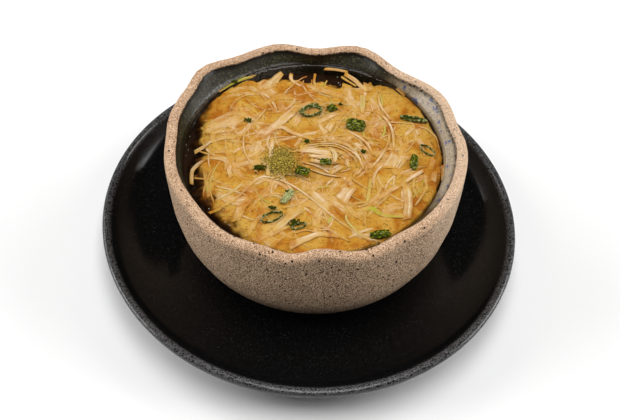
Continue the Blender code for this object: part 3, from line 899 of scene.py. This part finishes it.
for i in range(26):
    start, size, reach = rng.uniform(-0.9, 1.9), rng.uniform(0.2, 0.85), rng.uniform(0.5, 1.3)
    route = []
    for k in range(4):
        turn, wobble = start + reach * k / 3, size + rng.uniform(-0.08, 0.08)
        route.append((
            NEST_CENTRE.x + NEST_RADII.x * wobble * math.cos(turn),
            NEST_CENTRE.y + NEST_RADII.y * wobble * math.sin(turn),
        ))
    level = [nest_height(*route[k]) + rng.uniform(-0.15, 0.15) for k in (0, 2, 3)]
    strands.append(
        ribbon(f"nest_arc_{i}", route, rng.choice((0.5, 0.6, 0.9, 1.4)), None, level, 0.22,
               (rng.uniform(0.2, 0.7), rng.uniform(0.2, 0.7)), 0, 120 + i)
    )
for piece in (core, join("leek_nest_threads", strands)):
    finish_piece(piece, leek, "leek", "leek_nest")

# %% Threads all over the soup
WITHIN = 53  # the loose threads stay this far from the middle (mm)
loose = []
for i in range(300):
    turn, radius = rng.uniform(0, math.tau), 52 * math.sqrt(rng.uniform(0.02, 1))
    x, y = spot_at(turn, radius)
    if cloud_height(x, y) < WATER - 1.2:
        continue
    heading, length = rng.uniform(0, math.tau), rng.uniform(8, 30)
    curl = rng.uniform(0.1, 1.1) * rng.choice((-1, 1))
    route = []
    for t in (-0.5, -0.25, 0.0, 0.25, 0.5):
        bend = heading + curl * t
        route.append((x + length * t * math.cos(bend), y + length * t * math.sin(bend)))
    if max(around(*point)[1] for point in route) > WITHIN:
        continue
    width = rng.choice((0.5, 0.6, 0.7, 0.9, 1.2, 1.8, 2.6, 3.6, 4.6))
    share = rng.uniform(0.4, 0.9) if width < 2 else rng.uniform(0.35, 0.6)
    tint = rng.choice((0, 0, 0, 0, 0.2, 0.8)) if width < 1.5 else 0.0
    loose.append(
        ribbon(f"loose_{i}", route, width, None,
               (rng.uniform(-0.2, 0.0), rng.uniform(-0.1, 0.1), rng.uniform(-0.2, 0.0)), 0.25,
               (share, share * rng.uniform(0.5, 1.2)), tint, 150 + i, step=1.7)
    )
print(len(loose), "loose threads")
finish_piece(join("leek_loose_threads", loose), leek, "leek")

# %% [markdown]
# ## Cut scallion
# A scallion leaf is a thin tube. Cut across, it gives rings; torn or cut aslant, it gives ribbed
# green flakes. The outside is dark green and ribbed, and the cut edge is paler and wet.

# %% Scallion material
scallion, shader, add = new_material("cut_scallion_leaf")
where = place_in_mm(add)
along = add("UVMap", {"uv_map": "UVMap"})
ribs = add(
    "TexNoise", Scale=1.0, Detail=3.0,
    Vector=add("Mapping", Vector=along, Scale=(0.6, 1.5, 1.0)),
)
leaf = add(
    "ValToRGB", Fac=ribs,
    stops=[(0.34, "121202"), (0.45, "2A3202"), (0.55, "4E5602"), (0.67, "A0A010")],
)
blotches = add("TexNoise", Vector=where, Scale=0.8, Detail=3.0)
leaf = fade(add, leaf, "565806", (blotches, 0.5, 0.72), strength=0.5)
pale_share = add("Attribute", {"attribute_name": "pale"}, "Fac")
leaf = fade(add, leaf, "B0B078", strength=pale_share)
spots = add("TexNoise", Vector=where, Scale=2.4, Detail=2.0)
leaf = fade(add, leaf, "141A02", (spots, 0.52, 0.66), strength=0.7)
plug(
    shader, Base_Color=leaf, Roughness=0.5, Specular_IOR_Level=0.06,
    Normal=add("Bump", Strength=0.5, Distance=0.3 * MM, Height=ribs),
)


def middle_of(node):
    low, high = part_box(node)
    return (low + high) / 2 / MM


# %% Rings
RINGS = (
    # node, heading (degrees), length and width of the outline, wall, height, lift, lean outward
    ("scallion_ring_back", 20, 9.6, 5.6, 0.8, 1.8, 0.1, 1.6),
    ("scallion_arc_right", -12, 12.6, 2.7, 0.9, 1.4, 0.1, 0.6),
    ("scallion_ring_right", -45, 8.6, 4.0, 0.45, 1.0, 0.0, 0.0),
    ("scallion_ring_front", 26, 9.6, 4.6, 0.5, 1.2, 0.1, 0.3),
    ("scallion_curl_front", 25, 6.8, 2.8, 0.5, 1.0, 0.0, 0.3),
)
for seed, (node, turned_by, length, width, thick, tall, lift, lean) in enumerate(RINGS):
    middle, turned = middle_of(node), Matrix.Rotation(math.radians(turned_by), 2)
    ring = start_piece(
        node + "_slice", bpy.ops.mesh.primitive_circle_add, vertices=40, radius=1,
        fill_type="NOTHING",
    )
    bpy.ops.object.mode_set(mode="EDIT")
    for _ in range(3):
        bpy.ops.mesh.extrude_region_move(TRANSFORM_OT_translate={"value": (0, 0, 1 / 3)})
    turn_outwards()
    layer = ring.data.uv_layers.new(name="UVMap").data
    for loop in ring.data.loops:
        spot = ring.data.vertices[loop.vertex_index].co
        layer[loop.index].uv = (spot.z * tall, math.atan2(spot.y, spot.x) * length / 2.5 + seed)
    for vertex in ring.data.vertices:
        turn = math.atan2(vertex.co.y, vertex.co.x)
        round_it = towards(turn, seed * 3.0)
        crumple = 1 + 0.14 * noise.noise(round_it * 1.7) + 0.06 * noise.noise(
            round_it * 4 + Vector((0, 0, vertex.co.z))
        )
        half = Vector((
            math.cos(turn) * (length - thick) / 2, math.sin(turn) * (width - thick) / 2
        )) * crumple
        half *= 1 + lean * vertex.co.z * (0.5 + noise.noise(round_it * 1.1)) / half.length
        x, y = middle.xy + turned @ half
        rise = lift - 0.25 + vertex.co.z * (tall + 0.5 * noise.noise(round_it * 3))
        vertex.co = Vector((x, y, WATER + rise)) * MM
    modify(ring, "SOLIDIFY", thickness=thick * MM, offset=0.0)
    smooth_surface(ring, 2)
    pale_at = [clamped(0.25 + 1.6 * noise.noise(v.co / MM * 1.1)) for v in ring.data.vertices]
    write_values(ring, "pale", pale_at)
    finish_piece(ring, scallion, "scallion", node)

# %% Flakes of leaf
FLAKES = (
    # node, heading (degrees), length, width, thickness at the crown, pale share
    ("scallion_leaf_back", 35, 4.6, 4.4, 1.6, 0.0),
    ("scallion_leaf_back_right", -10, 9.4, 7.6, 2.0, 0.0),
    ("scallion_leaf_right", 84, 9.6, 3.6, 1.5, 0.0),
    ("scallion_leaf_centre", -5, 5.6, 4.2, 1.2, 0.1),
    ("scallion_leaf_dark", -20, 6.6, 5.2, 1.5, 0.0),
    ("scallion_leaf_front_right", 12, 9.6, 4.4, 1.6, 0.0),
    ("scallion_leaf_pale", 62, 9.5, 3.6, 1.0, 0.9),
)
for seed, (node, turned_by, length, width, crown, pale) in enumerate(FLAKES):
    middle, turned = middle_of(node), Matrix.Rotation(math.radians(turned_by), 2)
    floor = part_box(node)[0].z
    flake = start_piece(
        node + "_flake", bpy.ops.mesh.primitive_grid_add, x_subdivisions=26, y_subdivisions=18,
        size=2,
    )
    for corner in flake.data.uv_layers.active.data:
        corner.uv = (corner.uv.x * length, corner.uv.y * width + seed * 5)
    for vertex in flake.data.vertices:
        u, v = vertex.co.x, vertex.co.y
        x, y = u * math.sqrt(1 - 0.3 * v * v), v * math.sqrt(1 - 0.3 * u * u)
        turn = math.atan2(y, x)
        edge_way = towards(turn, seed * 4.0)
        ragged = 0.95 + 0.16 * noise.noise(edge_way * 2) + 0.22 * noise.noise(edge_way * 6)
        spot = turned @ Vector((x * length / 2 * ragged * 0.97, y * width / 2 * ragged * 0.97))
        fold = crown * (0.8 - 0.6 * (x * x + y * y)) + 0.14 * math.sin(y * width * 2.6 + seed)
        fold += 0.6 * noise.noise(Vector((spot.x * 0.8, spot.y * 0.8, seed)))
        x, y = middle.xy + spot
        vertex.co = (x * MM, y * MM, floor + max(0.15, fold) * MM)
    modify(flake, "SOLIDIFY", thickness=0.4 * MM, offset=0.0)
    smooth_surface(flake, 1)
    spots = [v.co / MM for v in flake.data.vertices]
    write_values(flake, "pale", [clamped(pale + 0.9 * noise.noise(p * 0.9) - 0.15) for p in spots])
    finish_piece(flake, scallion, "scallion", node)

# %% [markdown]
# ## Powder, crumbs and bubbles
# A pinch of green powder lies beside the nest, crumbs of scallion float about, and a few air
# bubbles stay on the broth, many of them near the wall; their white colour is partly a painted
# glint. One small lump is modelled and copied.
# The copies are turned and sized at random and joined, so there is one piece for each kind. The
# grains are drawn a little coarser than real powder, which would not show.

# %% Scatter small lumps


def scatter(name, places, size, material, slot, seed, flat=0.7):
    """Copies of one small lump at these places (mm), joined to one piece."""
    draw = random.Random(seed)
    lump = start_piece("lump", bpy.ops.mesh.primitive_ico_sphere_add, subdivisions=1, radius=0.5)
    bpy.ops.object.mode_set(mode="EDIT")
    bpy.ops.mesh.select_all(action="SELECT")
    bpy.ops.transform.vertex_random(offset=0.12, seed=seed)
    turn_outwards()
    bpy.ops.object.shade_smooth()
    copies = []
    for place in places:
        grow = size * draw.uniform(0.55, 1.3) * MM
        turn = Matrix.Rotation(draw.uniform(0, math.tau), 4, "Z")
        tilt = Matrix.Rotation(draw.uniform(-0.6, 0.6), 4, "X")
        squash = Matrix.Diagonal((grow, grow * draw.uniform(0.7, 1), grow * flat, 1))
        mesh = lump.data.copy()
        mesh.transform(Matrix.Translation(Vector(place) * MM) @ turn @ tilt @ squash)
        copies.append(bpy.data.objects.new(name, mesh))
        scene.collection.objects.link(copies[-1])
    bpy.data.objects.remove(lump)
    finish_piece(join(name, copies), material, slot)


# %% Powder
powder, shader, add = new_material("dried_green_powder")
patches = add("TexNoise", Vector=place_in_mm(add), Scale=1.5, Detail=3.0)
tone = add("ValToRGB", Fac=patches, stops=[(0.38, "5A4C04"), (0.5, "A2881A"), (0.62, "D6BC48")])
plug(shader, Base_Color=tone, Roughness=0.6)
POWDER_CENTRE, POWDER_RADII = (-12.4, -7.0), (8.5, 9.5)
heap = []
draw = random.Random(5)
for _ in range(3000):
    x, y = draw.gauss(0, 0.42), draw.gauss(0, 0.42)
    if x * x + y * y > 1.3:
        continue
    px, py = POWDER_CENTRE[0] + x * POWDER_RADII[0], POWDER_CENTRE[1] + y * POWDER_RADII[1]
    bulk = 1.2 * math.exp(-2.2 * (x * x + y * y))
    heap.append((px, py, WATER + max(0.1, nest_height(px, py)) + bulk * draw.uniform(0.2, 1)))
scatter("powder_grains", heap, 0.48, powder, "scallion", 3)

# %% Crumbs of scallion
CRUMBS = (
    # place and spread of each lot (mm)
    (-28.4, 17.6, 2.0), (-1.8, 5.9, 1.5), (22.7, 1.0, 1.4), (-21.9, -10.6, 3.0), (12.5, 30.0, 0.8),
    (-36, 42.5, 1.2), (-5.5, -40.5, 2.6), (-15, -33, 1.6), (-9, -24, 1.4),
)
bits = []
for x, y, spread in CRUMBS:
    for _ in range(int(10 + 18 * spread)):
        bits.append(
            (x + draw.gauss(0, spread * 0.4), y + draw.gauss(0, spread * 0.3),
             WATER + nest_height(x, y) + draw.uniform(0.1, 0.7))
        )
scatter("scallion_crumbs", bits, 0.9, scallion, "scallion", 8)

# %% Bubbles
foam, shader, add = new_material("bubble_film_and_painted_glint")
film = add("TexNoise", Vector=place_in_mm(add), Scale=2.0)
# The bubbles' white is partly their film and partly painted glints.
plug(shader, Base_Color=fade(add, "D8CDB8", "FFFFFF", strength=film), Roughness=0.08)
bubbles = []
for _ in range(150):
    turn = draw.uniform(0, math.tau)
    if draw.random() < 0.3:
        radius, rise = radius_at(wall, turn) - draw.uniform(0.6, 3.0), 0.25
    else:
        radius, rise = 50 * math.sqrt(draw.random()), 0.35
    bubbles.append((*spot_at(turn, radius), WATER + rise))
scatter("bubbles_and_painted_glints", bubbles, 0.36, foam, "broth", 21, 0.9)

# %% [markdown]
# ## Finish
# At the end nothing stays selected.

# %% Finish
deselect_all()
